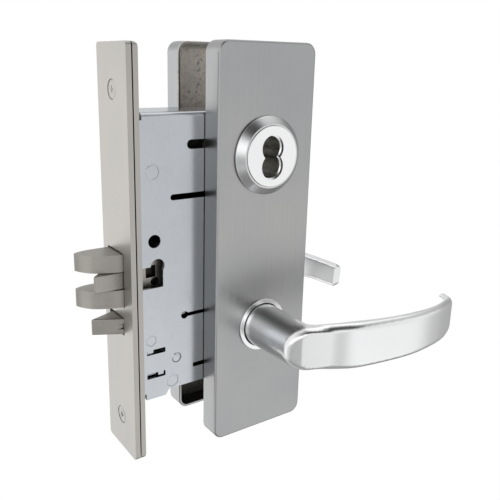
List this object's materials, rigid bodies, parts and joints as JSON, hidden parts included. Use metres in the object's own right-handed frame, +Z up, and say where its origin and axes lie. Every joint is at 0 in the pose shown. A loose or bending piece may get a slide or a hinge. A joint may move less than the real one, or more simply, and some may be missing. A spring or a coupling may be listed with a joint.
{
  "type": "mortise lock",
  "caption": "Mortise lock with armoured front, sprung latchbolt with antifriction tongue, auxiliary latch, escutcheon trim, cylinder housing for a removable core, and levers on both sides.",
  "frame": {"origin": "centre of the outer face of the front, held in the door's edge", "axes": "+X into the door, -Y towards the outside of the door, +Z up"},
  "size_m": [0.1971, 0.1572, 0.2052],
  "materials": {
    "front_satin": "satin plated steel, fine vertical grain",
    "bolt_cast": "satin cast and ground",
    "case_zinc": "zinc plated sheet steel",
    "trim_satin": "satin chrome, vertical brushed grain",
    "lever_satin": "bright satin chrome",
    "cylinder_chrome": "bright satin chrome, turned",
    "mechanism_steel": "plain machined steel",
    "spring_steel": "drawn spring wire"
  },
  "bodies": {
    "lock_case": {"front_plate": "front_satin", "inner_front": "front_satin", "front_screw_top": "front_satin", "front_screw_bottom": "front_satin", "case_body": "case_zinc", "case_cover": "case_zinc", "case_post_front_top": "case_zinc", "case_post_front_middle": "case_zinc", "case_post_front_bottom": "case_zinc", "case_rivet": "case_zinc", "case_post_rear_top": "case_zinc", "case_post_rear_bottom": "case_zinc", "lower_bracket": "case_zinc", "latch_guide": "case_zinc", "aux_spring_stop": "case_zinc", "outside_escutcheon": "trim_satin", "inside_escutcheon": "trim_satin", "trim_screw_upper": "trim_satin", "trim_screw_lower": "trim_satin", "outside_lever_bushing": "lever_satin", "inside_lever_bushing": "lever_satin", "trim_ring": "cylinder_chrome", "cylinder_housing": "cylinder_chrome", "case_screw_top": "mechanism_steel", "case_screw_bottom": "mechanism_steel", "deadlock_pivot": "mechanism_steel", "trim_post_upper": "mechanism_steel", "trim_post_lower": "mechanism_steel", "cylinder_set_screw": "mechanism_steel", "latch_spring": "spring_steel", "aux_spring": "spring_steel", "outside_return_spring": "spring_steel", "inside_return_spring": "spring_steel"},
    "latchbolt": {"latch_head": "bolt_cast", "latch_tail": "mechanism_steel", "antifriction_pin": "mechanism_steel"},
    "antifriction": {"antifriction_tongue": "bolt_cast"},
    "auxiliary_latch": {"aux_latch": "bolt_cast"},
    "deadlock": {"deadlock_lever": "mechanism_steel"},
    "outside_lever_set": {"outside_lever": "lever_satin", "outside_spindle": "mechanism_steel", "outside_lever_set_screw": "mechanism_steel", "outside_hub": "mechanism_steel"},
    "inside_lever_set": {"inside_lever": "lever_satin", "inside_spindle": "mechanism_steel", "inside_lever_set_screw": "mechanism_steel", "inside_hub": "mechanism_steel"},
    "retractor_arm": {"retractor": "mechanism_steel"},
    "cam": {"cylinder_cam": "mechanism_steel", "cam_screw_left": "mechanism_steel", "cam_screw_right": "mechanism_steel"},
    "hub_lock": {"lock_slide": "mechanism_steel"}
  },
  "joints": [
    {"name": "outside_lever_turn", "type": "hinge", "parent": "lock_case", "child": "outside_lever_set", "pos_m": [0.06985, 0, -0.0392], "axis": [0, 1, 0], "range_deg": [0, 45], "stiffness_Nm_per_rad": 1, "springref_deg": -28.65},
    {"name": "inside_lever_turn", "type": "hinge", "parent": "lock_case", "child": "inside_lever_set", "pos_m": [0.06985, 0, -0.0392], "axis": [0, 1, 0], "range_deg": [0, 45], "stiffness_Nm_per_rad": 1, "springref_deg": -28.65},
    {"name": "retractor_turn", "type": "hinge", "parent": "lock_case", "child": "retractor_arm", "pos_m": [0.06985, 0, -0.0392], "axis": [0, 1, 0], "range_deg": [0, 45]},
    {"name": "latch_slide", "type": "slide", "parent": "lock_case", "child": "latchbolt", "axis": [1, 0, 0], "range_m": [0, 0.0191], "deforming": ["latch_spring"]},
    {"name": "antifriction_swing", "type": "hinge", "parent": "latchbolt", "child": "antifriction", "pos_m": [0.002, 0.003, -0.008], "axis": [0, 0, -1], "range_deg": [0, 20], "stiffness_Nm_per_rad": 0.05, "springref_deg": -17.19},
    {"name": "aux_slide", "type": "slide", "parent": "lock_case", "child": "auxiliary_latch", "axis": [1, 0, 0], "range_m": [0, 0.0138], "stiffness_N_per_m": 250, "springref_m": -0.012, "deforming": ["aux_spring"]},
    {"name": "deadlock_turn", "type": "hinge", "parent": "lock_case", "child": "deadlock", "pos_m": [0.046, 0, -0.0246], "axis": [0, 1, 0], "range_deg": [0, 12]},
    {"name": "cylinder_cam_turn", "type": "hinge", "parent": "lock_case", "child": "cam", "pos_m": [0.06985, 0, 0.05], "axis": [0, 1, 0], "range_deg": [0, 90]},
    {"name": "lock_slide_travel", "type": "slide", "parent": "lock_case", "child": "hub_lock", "axis": [0, 0, -1], "range_m": [0, 0.006]}
  ],
  "couplings": [
    {"joint": "retractor_turn", "follows": "outside_lever_turn", "ratio": 1},
    {"joint": "latch_slide", "follows": "outside_lever_turn", "m_per_rad": 0.0243},
    {"joint": "deadlock_turn", "follows": "aux_slide", "rad_per_m": 15.1},
    {"joint": "cylinder_cam_turn", "follows": "lock_slide_travel", "rad_per_m": 261.7}
  ]
}
